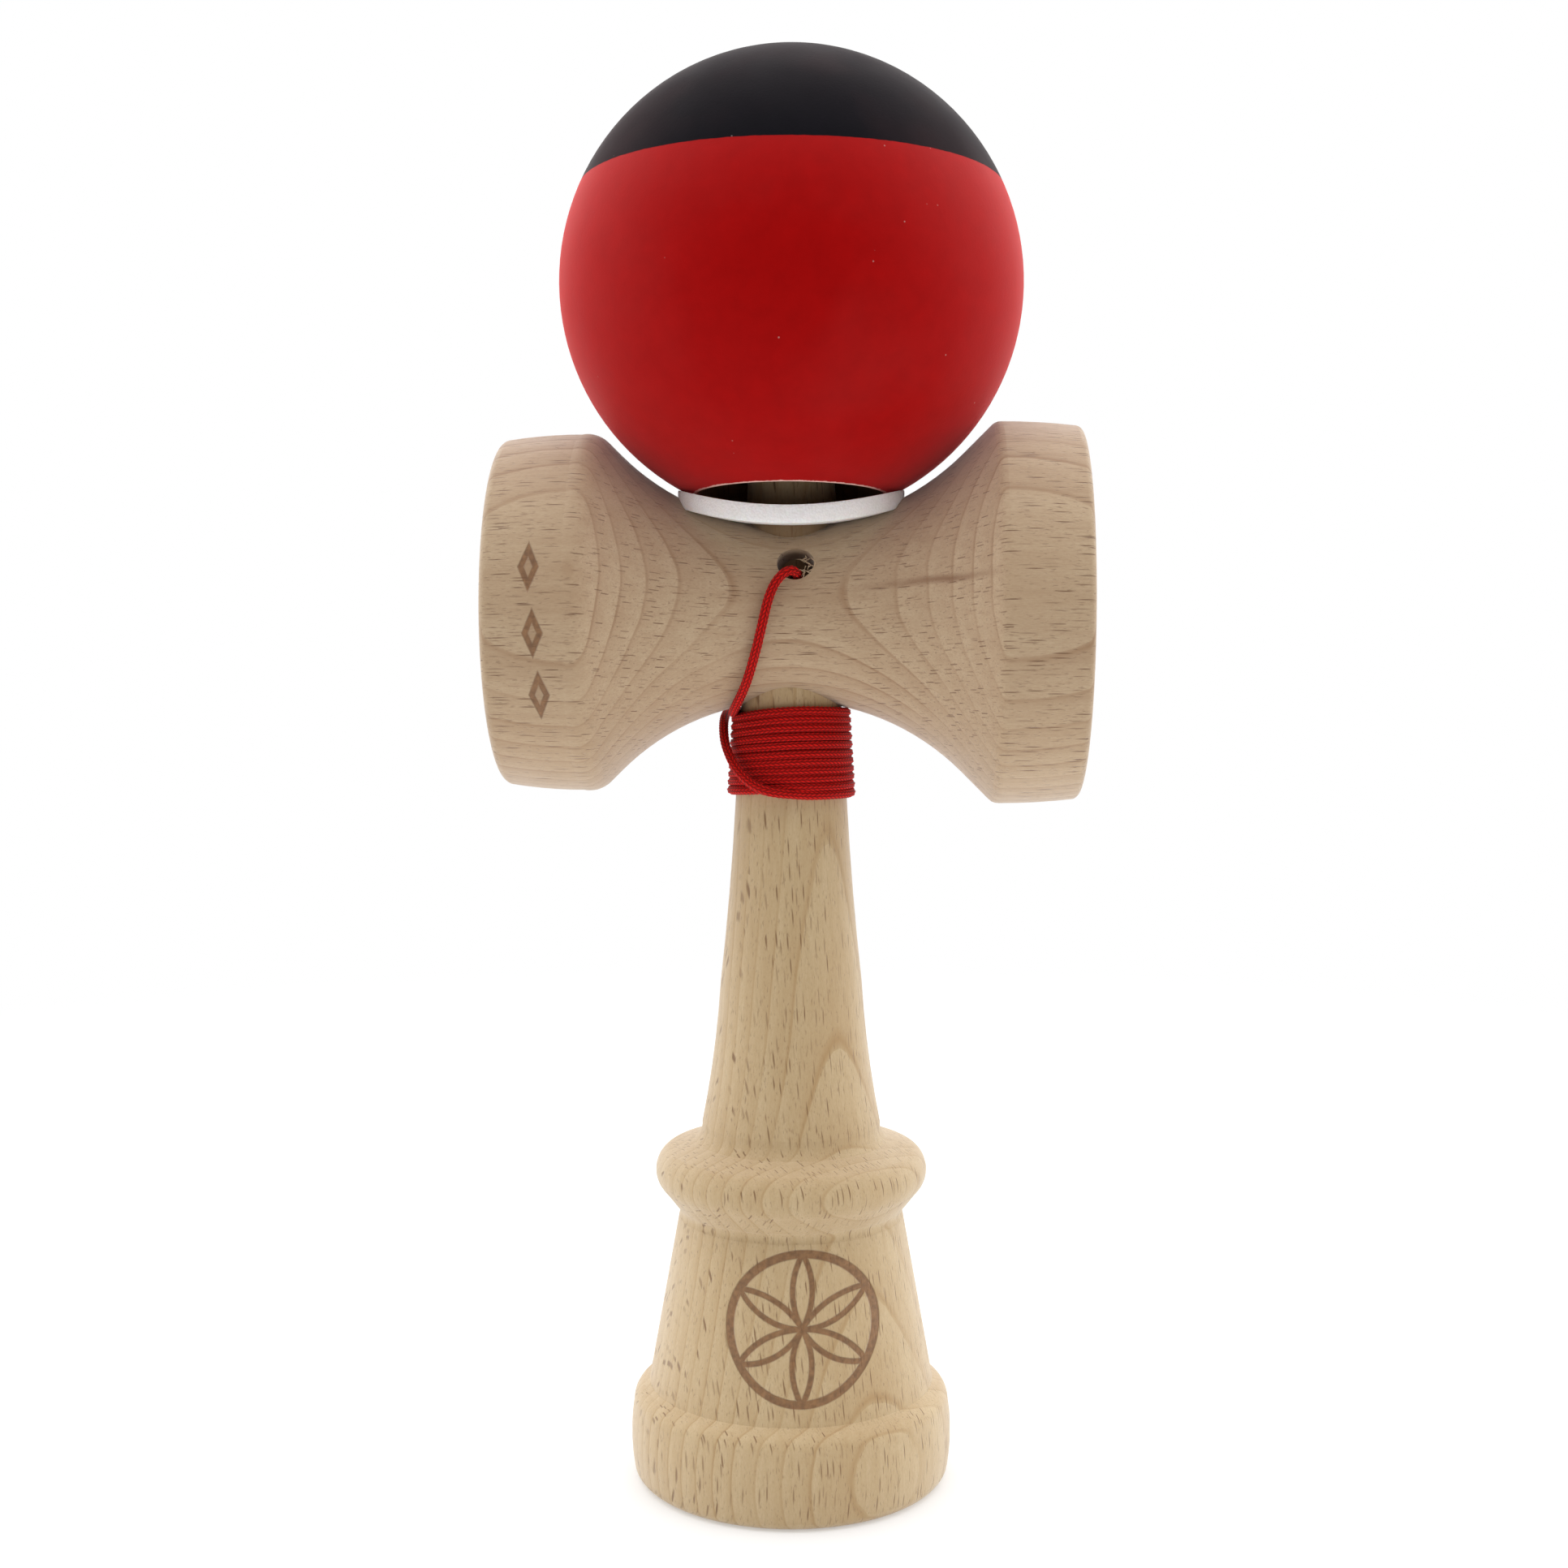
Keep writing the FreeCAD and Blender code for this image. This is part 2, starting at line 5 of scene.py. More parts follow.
import bmesh
import bpy
import numpy as np
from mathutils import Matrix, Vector


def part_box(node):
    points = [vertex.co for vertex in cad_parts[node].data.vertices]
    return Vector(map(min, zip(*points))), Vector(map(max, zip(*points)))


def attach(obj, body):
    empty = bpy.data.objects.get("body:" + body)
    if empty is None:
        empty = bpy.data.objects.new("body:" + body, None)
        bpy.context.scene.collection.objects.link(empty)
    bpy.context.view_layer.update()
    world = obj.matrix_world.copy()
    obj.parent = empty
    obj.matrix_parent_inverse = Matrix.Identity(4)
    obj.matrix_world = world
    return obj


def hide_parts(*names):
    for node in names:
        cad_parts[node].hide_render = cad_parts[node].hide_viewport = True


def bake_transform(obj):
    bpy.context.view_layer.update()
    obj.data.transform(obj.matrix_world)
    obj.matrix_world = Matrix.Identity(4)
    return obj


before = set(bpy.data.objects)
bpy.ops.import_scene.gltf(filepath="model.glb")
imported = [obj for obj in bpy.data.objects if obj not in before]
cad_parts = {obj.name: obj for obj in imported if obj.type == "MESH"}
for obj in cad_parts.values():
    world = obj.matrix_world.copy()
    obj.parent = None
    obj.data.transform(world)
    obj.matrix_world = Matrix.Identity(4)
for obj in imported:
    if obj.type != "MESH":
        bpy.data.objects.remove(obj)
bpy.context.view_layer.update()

# ---------------------------------------------------------------- places, from the frame
MM = 0.001
CUP_LOW, CUP_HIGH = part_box("sarado")
CUP_AXIS = (CUP_LOW.z + CUP_HIGH.z) / 2
WAIST_RADIUS, VALLEY_RADIUS = 11.5 * MM, 31.7 * MM
BALL_LOW, BALL_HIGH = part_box("tama")
BALL_RADIUS = (BALL_HIGH.x - BALL_LOW.x) / 2
BALL_CENTRE = Vector((0, 0, BALL_HIGH.z - BALL_RADIUS))
BALL_LEAN = math.radians(6)
BALL_AXIS = Vector((0, math.sin(BALL_LEAN), math.cos(BALL_LEAN)))

# ---------------------------------------------------------------- the string's route
CORD_DIAMETER = 1.2 * MM
# from the knot behind the shaft, out of the string hole, down over the waist to the handle,
FRONT_STRAND = [
    (0.00085, 0.0022, 0.11432),
    (0.00095, -0.0052, 0.1192),
    (0.0013, -0.0099, 0.1209),
    (0.0001, -0.0117, 0.1215),
    (-0.0015, -0.0120, 0.1201),
    (-0.0025, -0.0123, 0.1178),
    (-0.0031, -0.0126, 0.1151),
    (-0.0040, -0.0122, 0.1113),
    (-0.0054, -0.0101, 0.1068),
    (-0.0070, -0.0067, 0.1038),
    (-0.0076, -0.0034, 0.1028),
]
# round the handle, each turn beside the last,
TURNS_START = math.radians(194)
TURNS = 10.81
TURNS_TOP = 102.9 * MM
TURNS_BOTTOM = 92.25 * MM
TURN_POINTS = 24
HANDLE_TOP_RADIUS = 6.66 * MM
HANDLE_TAPER = 0.0606
# off the bottom turn, up over the turns and behind the cross-cup,
TAIL_STRAND = [
    (-0.0020, -0.0091, 0.0929),
    (-0.0042, -0.0085, 0.0935),
    (-0.0061, -0.0073, 0.0949),
    (-0.0075, -0.0056, 0.0966),
    (-0.0085, -0.0035, 0.0986),
    (-0.0089, -0.0012, 0.1004),
    (-0.0090, 0.0018, 0.1019),
    (-0.0088, 0.0057, 0.1026),
    (-0.0081, 0.0096, 0.1045),
    (-0.0075, 0.0126, 0.1086),
    (-0.0069, 0.0154, 0.1156),
    (-0.0060, 0.0196, 0.1250),
]
# and up the back of the ball, over its pole and down through the bead to the last knot.
BALL_STRAND = [
    (-0.0050, 0.0240, 0.1335),
    (-0.0043, 0.0266, 0.1395),
    (-0.0037, 0.0300, 0.1475),
    (-0.0030, 0.0322, 0.1590),
    (-0.0021, 0.0298, 0.1706),
    (-0.0012, 0.0232, 0.1802),
    (-0.0005, 0.0143, 0.1869),
    (-0.0001, 0.0084, 0.1890),
    (0.0, 0.0043, 0.1895),
    (0.0, 0.00255, 0.1842),
    (0.0, 0.0020, 0.1770),
    (0.0, 0.00124, 0.16993),
]


# ---------------------------------------------------------------- shader helpers
class Shader:
    """A material being built: every method adds a node and returns its output socket."""

    def __init__(self, name):
        self.material = bpy.data.materials.new(name)
        self.material.use_nodes = True
        self.tree = self.material.node_tree
        self.surface = self.tree.nodes["Principled BSDF"]

    def plug(self, socket, value):
        if isinstance(value, bpy.types.NodeSocket):
            self.tree.links.new(value, socket)
        else:
            socket.default_value = value

    def node(self, kind, inputs, output=0, **settings):
        """inputs maps a socket's name or number to a value or another node's output."""
        made = self.tree.nodes.new(kind)
        for key, value in settings.items():
            setattr(made, key, value)
        for key, value in inputs.items():
            self.plug(made.inputs[key], value)
        return made.outputs[output]

    def math(self, operation, first, second=0.0, third=0.0):
        return self.node("ShaderNodeMath", {0: first, 1: second, 2: third}, operation=operation)

    def vector(self, operation, first, second):
        return self.node("ShaderNodeVectorMath", {0: first, 1: second}, operation=operation)

    def length(self, vector):
        return self.node("ShaderNodeVectorMath", {0: vector}, "Value", operation="LENGTH")

    def place(self):
        return self.node("ShaderNodeTexCoord", {}, "Object")

    def split(self, vector):
        made = self.tree.nodes.new("ShaderNodeSeparateXYZ")
        self.plug(made.inputs[0], vector)
        return made.outputs[0], made.outputs[1], made.outputs[2]

    def join(self, x, y, z):
        return self.node("ShaderNodeCombineXYZ", {0: x, 1: y, 2: z})

    def noise(self, vector, scale, detail=3.0, roughness=0.5):
        inputs = {"Vector": vector, "Scale": scale, "Detail": detail, "Roughness": roughness}
        return self.node("ShaderNodeTexNoise", inputs)

    def ramp(self, value, low, high, start=0.0, end=1.0, smooth=False):
        """Maps low..high to start..end and stops at both ends."""
        kind = "SMOOTHSTEP" if smooth else "LINEAR"
        inputs = {0: value, 1: low, 2: high, 3: start, 4: end}
        return self.node("ShaderNodeMapRange", inputs, interpolation_type=kind)

    def mix(self, share, first, second, mode="MIX"):
        inputs = {0: share, 6: first, 7: second}
        return self.node("ShaderNodeMix", inputs, 2, data_type="RGBA", blend_type=mode)

    def bump(self, height, distance):
        inputs = {"Strength": 1.0, "Distance": distance, "Height": height}
        return self.node("ShaderNodeBump", inputs)

    def finish(self, color, roughness, normal):
        self.plug(self.surface.inputs["Base Color"], color)
        self.plug(self.surface.inputs["Roughness"], roughness)
        self.plug(self.surface.inputs["Normal"], normal)
        return self.material


def screen(red, green, blue):
    """A colour as it shows on a screen, 0 to 255, turned into the shader's own values."""
    shares = [value / 255 for value in (red, green, blue)]
    return (*[s / 12.92 if s <= 0.04045 else ((s + 0.055) / 1.055) ** 2.4 for s in shares], 1.0)


# ---------------------------------------------------------------- beech
WOOD_SHEEN = 0.4
WOOD_GLOSS = 0.2
PITH_DISTANCE = 75 * MM
RING_WIDTH = 2.2 * MM
# the room that one ray fleck has: along the fibres, across them and in depth
RAY_LENGTH, RAY_SPACING, RAY_DEPTH = 3.1 * MM, 0.52 * MM, 1.4 * MM


def beech(shader, along, side, deep, pith, base, dark, fleck_color):
    """Solid beech with growth rings about a distant pith, short ray flecks, pores and fibres.
    along runs with the fibres, side and deep across them, and pith is the tree's centre in (side, deep).
    Returns its colour and the height for its bump."""
    pith_side, pith_deep = pith
    from_side = shader.math("SUBTRACT", side, pith_side)
    from_deep = shader.math("SUBTRACT", deep, pith_deep)
    wander = shader.noise(shader.join(shader.math("MULTIPLY", along, 0.22), side, deep), 55.0, 2.0)
    deep_square = shader.math("MULTIPLY", from_deep, from_deep)
    squares = shader.math("MULTIPLY_ADD", from_side, from_side, deep_square)
    radius = shader.math("MULTIPLY_ADD", wander, 2.0 * MM, shader.math("SQRT", squares))
    around = shader.math("MULTIPLY", shader.math("ARCTAN2", from_side, from_deep), PITH_DISTANCE)

    # a ring goes slowly from pale to darker, and ends in a thin dark line
    ring = shader.math("FRACT", shader.math("DIVIDE", radius, RING_WIDTH))
    line_start, line_end = shader.ramp(ring, 0.86, 0.94), shader.ramp(ring, 0.95, 1.0, 1.0, 0.0)
    line = shader.math("MULTIPLY", line_start, line_end)
    late = shader.math("MULTIPLY_ADD", line, 0.55, shader.ramp(ring, 0.15, 0.95, 0.0, 0.5))
    patch = shader.noise(shader.join(shader.math("MULTIPLY", along, 0.35), side, deep), 90.0, 3.0)
    late = shader.math("MULTIPLY", late, shader.ramp(patch, 0.35, 0.65, 0.35, 1.0))

    # ray flecks: one needle in each cell, long along the fibres, thin across them, and seen to one depth
    bend = shader.math("MULTIPLY_ADD", wander, 0.6 * MM, around)
    cells = shader.join(
        shader.math("DIVIDE", along, RAY_LENGTH),
        shader.math("DIVIDE", bend, RAY_SPACING),
        shader.math("DIVIDE", radius, RAY_DEPTH),
    )
    voronoi = shader.tree.nodes.new("ShaderNodeTexVoronoi")
    voronoi.inputs["Scale"].default_value = 1.0
    voronoi.inputs["Randomness"].default_value = 0.85
    shader.plug(voronoi.inputs["Vector"], cells)
    off = shader.vector("SUBTRACT", cells, voronoi.outputs["Position"])
    needle = shader.vector("MULTIPLY", off, (2.3, 6.8, 0.0))
    reach = shader.length(needle)
    chance = shader.split(voronoi.outputs["Color"])[0]
    depth = shader.ramp(shader.math("ABSOLUTE", shader.split(off)[2]), 0.24, 0.32, 1.0, 0.0)
    chance = shader.math("MULTIPLY", chance, depth)
    shape = shader.ramp(reach, 0.45, 1.1, 1.0, 0.0)
    fleck = shader.math("MULTIPLY", shape, shader.ramp(chance, 0.05, 0.9))

    # fibres and pores
    fibre = shader.noise(shader.join(shader.math("MULTIPLY", along, 0.07), side, deep), 4200.0, 2.0, 0.6)
    pore = shader.noise(shader.join(shader.math("MULTIPLY", along, 0.2), side, deep), 5200.0, 1.0)
    pores = shader.ramp(pore, 0.62, 0.74)
    broad = shader.noise(shader.join(shader.math("MULTIPLY", along, 0.4), side, deep), 38.0, 2.0)
    streak = shader.noise(shader.join(shader.math("MULTIPLY", along, 0.03), side, deep), 700.0, 2.0, 0.6)

    color = shader.mix(shader.math("MULTIPLY", late, 0.95), base, dark)
    color = shader.mix(shader.ramp(broad, 0.3, 0.75, 0.0, 0.35), color, dark)
    color = shader.mix(shader.ramp(streak, 0.35, 0.75, 0.0, 0.3), color, dark)
    color = shader.mix(shader.ramp(fibre, 0.3, 0.8, 0.0, 0.28), color, dark)
    grain = shader.noise(shader.join(shader.math("MULTIPLY", along, 0.3), side, deep), 5600.0, 2.0, 0.7)
    color = shader.mix(shader.ramp(grain, 0.35, 0.75, 0.0, 0.34), color, dark)
    color = shader.mix(shader.math("MULTIPLY", pores, 0.35), color, fleck_color)
    color = shader.mix(shader.math("MULTIPLY", fleck, 0.78), color, fleck_color)
    height = shader.math("MULTIPLY_ADD", fibre, 0.5, shader.math("MULTIPLY", fleck, -0.6))
    height = shader.math("MULTIPLY_ADD", pores, -0.5, height)
    return color, height


def near_front(shader, deep):
    """1 on the side that faces the viewer and 0 behind."""
    return shader.math("LESS_THAN", deep, 0.0)


def rosette(shader, across, up, size):
    """A ring with the six-petalled figure that compasses draw in it: 1 on its lines, else 0."""
    u = shader.math("DIVIDE", across, size)
    v = shader.math("DIVIDE", up, size)
    distance = shader.length(shader.join(u, v, 0.0))
    ring = shader.math("ABSOLUTE", shader.math("SUBTRACT", distance, 1.0))
    lines = shader.ramp(ring, 0.048, 0.066, 1.0, 0.0)
    inside = shader.math("LESS_THAN", distance, 1.0)
    for petal in range(6):
        turn = math.radians(60 * petal + 30)
        centre = (-math.cos(turn), -math.sin(turn), 0.0)
        shifted = shader.vector("ADD", shader.join(u, v, 0.0), centre)
        from_centre = shader.length(shifted)
        arc = shader.math("ABSOLUTE", shader.math("SUBTRACT", from_centre, 1.0))
        line = shader.math("MULTIPLY", shader.ramp(arc, 0.03, 0.047, 1.0, 0.0), inside)
        lines = shader.math("MAXIMUM", lines, line)
    return lines


def lozenges(shader, across, up, centres, half_width, half_height):
    """Small upright diamonds, one above the other."""
    marks = 0.0
    for centre_across, centre_up in centres:
        u = shader.math("ABSOLUTE", shader.math("SUBTRACT", across, centre_across))
        v = shader.math("ABSOLUTE", shader.math("SUBTRACT", up, centre_up))
        reach = shader.math("MULTIPLY_ADD", u, 1 / half_width, shader.math("DIVIDE", v, half_height))
        diamond = shader.ramp(reach, 0.9, 1.05, 1.0, 0.0)
        core = shader.ramp(reach, 0.34, 0.46, 0.35, 1.0)
        marks = shader.math("MAXIMUM", marks, shader.math("MULTIPLY", diamond, core))
    return marks


def scorched(shader, color, height, mark, seed_place):
    """Burns a mark into the wood: browner, a little darker at random, and sunk."""
    uneven = shader.noise(seed_place, 1500.0, 2.0)
    burn = shader.mix(shader.ramp(uneven, 0.3, 0.7), screen(140, 98, 62), screen(102, 66, 40))
    color = shader.mix(shader.math("MULTIPLY", mark, 0.86), color, burn)
    return color, shader.math("MULTIPLY_ADD", mark, -2.2, height)


ROSETTE_SIDE, ROSETTE_HEIGHT, ROSETTE_RADIUS = 2.0 * MM, 25 * MM, 9.3 * MM


def ken_material():
    shader = Shader("ken_beech")
    place = shader.place()
    x, y, z = shader.split(place)
    color, height = beech(
        shader, z, x, y, (-55 * MM, 60 * MM),
        screen(209, 188, 151), screen(176, 144, 100), screen(118, 82, 48),
    )
    # painted shade: the shaft is darker and more brown inside the cross-cup and where it comes out under
    # the washer
    low, high = shader.ramp(z, 108 * MM, 112 * MM), shader.ramp(z, 128 * MM, 133 * MM, 1.0, 0.0)
    shaft_shade = shader.math("MULTIPLY", shader.math("MULTIPLY", low, high), 0.7)
    color = shader.mix(shaft_shade, color, screen(104, 74, 48))
    across = shader.math("SUBTRACT", x, ROSETTE_SIDE)
    mark = rosette(shader, across, shader.math("SUBTRACT", z, ROSETTE_HEIGHT), ROSETTE_RADIUS)
    mark = shader.math("MULTIPLY", mark, near_front(shader, y))
    color, height = scorched(shader, color, height, mark, place)
    shader.surface.inputs["Sheen Weight"].default_value = WOOD_SHEEN
    shader.surface.inputs["Specular IOR Level"].default_value = WOOD_GLOSS
    worn = shader.noise(place, 160.0, 4.0, 0.6)
    roughness = shader.ramp(worn, 0.3, 0.7, 0.5, 0.66)
    return shader.finish(color, roughness, shader.bump(height, 0.05 * MM))


STREAK_HEIGHT, STREAK_SLOPE = 117.4 * MM, 0.1
LOZENGES = [(-31.2 * MM, 121.6 * MM), (-30.7 * MM, 113.6 * MM), (-30.2 * MM, 106.0 * MM)]
LOZENGE_HALF_WIDTH, LOZENGE_HALF_HEIGHT = 1.35 * MM, 3.1 * MM


def cup_material():
    shader = Shader("cup_beech")
    place = shader.place()
    x, y, z = shader.split(place)
    color, height = beech(
        shader, x, z, y, (CUP_AXIS - 14 * MM, 62 * MM),
        screen(200, 177, 146), screen(161, 129, 98), screen(108, 74, 50),
    )
    # one dark streak across the front of the big cup's flare
    streak_line = shader.math("MULTIPLY_ADD", x, STREAK_SLOPE, STREAK_HEIGHT)
    streak_wave = shader.noise(shader.vector("MULTIPLY", place, (1.0, 0.2, 0.2)), 150.0, 3.0)
    streak_line = shader.math("MULTIPLY_ADD", streak_wave, 1.6 * MM, streak_line)
    off_line = shader.math("ABSOLUTE", shader.math("SUBTRACT", z, streak_line))
    streak = shader.ramp(off_line, 0.1 * MM, 0.7 * MM, 0.8, 0.0)
    streak = shader.math("MULTIPLY", streak, near_front(shader, y))
    streak = shader.math("MULTIPLY", streak, shader.ramp(x, 7 * MM, 20 * MM, 0.0, 1.0))
    streak = shader.math("MULTIPLY", streak, shader.ramp(x, 20 * MM, 27 * MM, 1.0, 0.0))
    color = shader.mix(streak, color, screen(128, 90, 62))
    # painted shade: the string's hole and the shaft's are rough inside, and painted darker and more brown
    # there, where shade falls
    up = shader.math("SUBTRACT", z, CUP_AXIS)
    from_axis = shader.math("SQRT", shader.math("MULTIPLY_ADD", y, y, shader.math("MULTIPLY", up, up)))
    hole_shade = shader.ramp(from_axis, WAIST_RADIUS - 1.1 * MM, WAIST_RADIUS - 0.3 * MM, 0.8, 0.0)
    near_middle = shader.ramp(shader.math("ABSOLUTE", x), 8 * MM, 9 * MM, 1.0, 0.0)
    hole_shade = shader.math("MULTIPLY", hole_shade, near_middle)
    color = shader.mix(hole_shade, color, screen(92, 62, 42))
    mark = lozenges(shader, x, z, LOZENGES, LOZENGE_HALF_WIDTH, LOZENGE_HALF_HEIGHT)
    mark = shader.math("MULTIPLY", mark, near_front(shader, y))
    color, height = scorched(shader, color, height, mark, place)
    shader.surface.inputs["Sheen Weight"].default_value = WOOD_SHEEN
    shader.surface.inputs["Specular IOR Level"].default_value = WOOD_GLOSS
    worn = shader.noise(place, 150.0, 4.0, 0.6)
    roughness = shader.ramp(worn, 0.3, 0.7, 0.52, 0.68)
    return shader.finish(color, roughness, shader.bump(height, 0.05 * MM))


def bead_material():
    shader = Shader("bead_wood")
    place = shader.place()
    x, y, z = shader.split(place)
    color, height = beech(
        shader, z, x, y, (-20 * MM, 15 * MM),
        screen(214, 188, 150), screen(186, 152, 112), screen(120, 84, 54),
    )
    return shader.finish(color, 0.6, shader.bump(height, 0.04 * MM))


# ---------------------------------------------------------------- the ball
# the line between red and black: its height in front, how far forward that is, and its slope backwards
PAINT_EDGE, PAINT_FRONT, PAINT_TILT = 171.8 * MM, 26.7 * MM, math.tan(math.radians(3.1))
BORE_MOUTH = 12.4 * MM


def ball_material():
    """Rubbery paint, black over red, with pale specks, and bare wood inside the bore."""
    shader = Shader("ball_paint")
    place = shader.place()
    x, y, z = shader.split(place)
    waver = shader.noise(place, 700.0, 2.0)
    tilted = shader.math("MULTIPLY_ADD", shader.math("ADD", y, PAINT_FRONT), PAINT_TILT, z)
    edge = shader.math("MULTIPLY_ADD", waver, 0.16 * MM, tilted)
    top = shader.ramp(edge, PAINT_EDGE, PAINT_EDGE + 0.1 * MM)
    mottle = shader.noise(place, 420.0, 4.0, 0.6)
    red = shader.mix(shader.ramp(mottle, 0.3, 0.7), screen(163, 1, 1), screen(154, 0, 0))
    black = shader.mix(shader.ramp(mottle, 0.3, 0.7), screen(7, 7, 15), screen(4, 5, 12))
    color = shader.mix(top, red, black)

    # dust and small knocks: a pale speck in a few cells
    cells = shader.node("ShaderNodeTexVoronoi", {"Vector": place, "Scale": 620.0}, "Distance")
    chance = shader.noise(place, 230.0, 1.0)
    dot = shader.ramp(cells, 0.05, 0.085, 1.0, 0.0)
    speck = shader.math("MULTIPLY", dot, shader.ramp(chance, 0.64, 0.7))
    color = shader.mix(shader.math("MULTIPLY", speck, 0.55), color, screen(206, 176, 170))
    rubbed = shader.noise(place, 34.0, 3.0, 0.6)
    color = shader.mix(shader.ramp(rubbed, 0.52, 0.8, 0.0, 0.03), color, screen(196, 120, 116))

    # how far a point is from the bore's axis, which leans with the ball
    from_centre = shader.vector("SUBTRACT", place, tuple(BALL_CENTRE))
    both = {0: from_centre, 1: tuple(BALL_AXIS)}
    along = shader.node("ShaderNodeVectorMath", both, "Value", operation="DOT_PRODUCT")
    total = shader.length(from_centre)
    aside = shader.math("SQRT", shader.math(
        "SUBTRACT", shader.math("MULTIPLY", total, total), shader.math("MULTIPLY", along, along)
    ))
    chip = shader.noise(place, 900.0, 3.0, 0.7)
    inner = shader.math("LESS_THAN", total, BALL_RADIUS - 0.35 * MM)
    lip = shader.math("MULTIPLY_ADD", chip, -0.55 * MM, aside)
    bare_lip = shader.math("MULTIPLY", shader.ramp(lip, BORE_MOUTH - 0.1 * MM, BORE_MOUTH, 1.0, 0.0),
                           shader.math("LESS_THAN", along, 0.0))
    wood, _ = beech(
        shader, z, x, y, (-40 * MM, 45 * MM),
        screen(186, 158, 120), screen(150, 118, 84), screen(94, 66, 42),
    )
    # painted shade: the bore's bare wood turns dark brown from about 9 mm in from the mouth, where light
    # hardly reaches
    bore = shader.mix(shader.ramp(along, -27 * MM, -18 * MM), wood, screen(96, 60, 40))
    color = shader.mix(bare_lip, color, screen(228, 190, 178))
    color = shader.mix(inner, color, bore)

    sheen = shader.noise(place, 75.0, 3.0)
    roughness = shader.ramp(sheen, 0.3, 0.7, 0.5, 0.6)
    grit = shader.noise(place, 2600.0, 2.0)
    height = shader.math("MULTIPLY_ADD", speck, 2.0, grit)
    shader.surface.inputs["Specular IOR Level"].default_value = 0.04
    shader.plug(shader.surface.inputs["Sheen Weight"], shader.math("MULTIPLY_ADD", top, -0.6, 0.62))
    shader.surface.inputs["Sheen Roughness"].default_value = 0.48
    shader.surface.inputs["Sheen Tint"].default_value = (1.0, 0.15, 0.15, 1.0)
    return shader.finish(color, roughness, shader.bump(height, 0.012 * MM))


def foam_material():
    """White closed-cell foam: fine cells, faint grey dirt."""
    shader = Shader("foam")
    place = shader.place()
    cells = shader.node("ShaderNodeTexVoronoi", {"Vector": place, "Scale": 3600.0}, "Distance")
    dirt = shader.noise(place, 520.0, 4.0, 0.65)
    color = shader.mix(shader.ramp(dirt, 0.45, 0.8, 0.0, 0.5), screen(254, 254, 253), screen(240, 239, 236))
    color = shader.mix(shader.ramp(cells, 0.45, 0.75, 0.0, 0.12), color, screen(190, 188, 184))
    shader.surface.inputs["Subsurface Weight"].default_value = 0.15
    shader.surface.inputs["Subsurface Scale"].default_value = 1.2 * MM
    return shader.finish(color, 0.85, shader.bump(cells, 0.06 * MM))


def cord_material():
    """Red polyester braid, with painted highlights on the plaits' raised crowns and painted shade in the
    gaps between them.
    """
    shader = Shader("cord_braid")
    braid = shader.node("ShaderNodeUVMap", {}, uv_map="braid")
    across, along, _ = shader.split(braid)
    column = shader.math("FLOOR", across)
    odd = shader.math("MODULO", column, 2.0)
    slant = shader.math("MULTIPLY_ADD", odd, 2.0, -1.0)
    inside = shader.math("SUBTRACT", shader.math("FRACT", across), 0.5)
    staggered = shader.math("MULTIPLY_ADD", odd, 0.5, along)
    run = shader.math("MULTIPLY_ADD", inside, slant, staggered)
    crown = shader.math("ABSOLUTE", shader.math("SINE", shader.math("MULTIPLY", run, math.pi)))
    edge = shader.ramp(shader.math("ABSOLUTE", inside), 0.2, 0.5, 1.0, 0.0, True)
    plait = shader.math("MULTIPLY", crown, edge)
    threads = shader.math("MULTIPLY_ADD", inside, 5.0, run)
    yarn_and_highlight = shader.math("SINE", shader.math("MULTIPLY", threads, 14.0))
    place = shader.place()
    fade = shader.noise(place, 300.0, 3.0)
    fuzz = shader.noise(place, 6000.0, 2.0)
    # painted highlight on the plaits' crowns, painted shade in the gaps between them
    color = shader.mix(plait, screen(112, 0, 0), screen(252, 24, 18))
    # painted highlight along the single threads
    color = shader.mix(shader.ramp(yarn_and_highlight, 0.2, 1.0, 0.0, 0.12), color, screen(240, 80, 66))
    color = shader.mix(shader.ramp(fade, 0.45, 0.8, 0.0, 0.2), color, screen(160, 6, 6))
    height = shader.math("MULTIPLY_ADD", yarn_and_highlight, 0.15, plait)
    height = shader.math("MULTIPLY_ADD", fuzz, 0.25, height)
    shader.surface.inputs["Sheen Weight"].default_value = 0.03
    shader.surface.inputs["Specular IOR Level"].default_value = 0.1
    return shader.finish(color, 0.62, shader.bump(height, 0.06 * MM))


# ---------------------------------------------------------------- the string
def handle_radius(height):
    return HANDLE_TOP_RADIUS + (103 * MM - height) * HANDLE_TAPER


def turn_tilt(angle):
    """How far a turn stands above a plain helix: up in front, down at the left."""
    return MM * (-0.05 + 0.285 * math.cos(angle) + 0.485 * math.sin(-angle) - 0.235 * math.cos(2 * angle))


def turns_route(rng):
    """The turns round the handle, clockwise seen from above. The first and last stay level."""
    points = []
    step = 2 * math.pi / TURN_POINTS
    pull_out = 1 / math.cos(step / 2)
    lean = 0.0
    for number in range(1, int(TURNS * TURN_POINTS)):
        turn = number / TURN_POINTS
        share = min(max((turn - 0.54) / (TURNS - 0.81), 0.0), 1.0)
        angle = TURNS_START - number * step
        lean = 0.85 * lean + 0.15 * rng.uniform(-1, 1)
        settled = min(turn / 0.5, 1.0)
        height = TURNS_TOP + (TURNS_BOTTOM - TURNS_TOP) * share + 0.2 * MM * lean
        height += turn_tilt(angle) * settled * (1 - 0.6 * share)
        radius = (handle_radius(height) + CORD_DIAMETER / 2) * pull_out
        points.append((radius * math.cos(angle), radius * math.sin(angle), height))
    return points


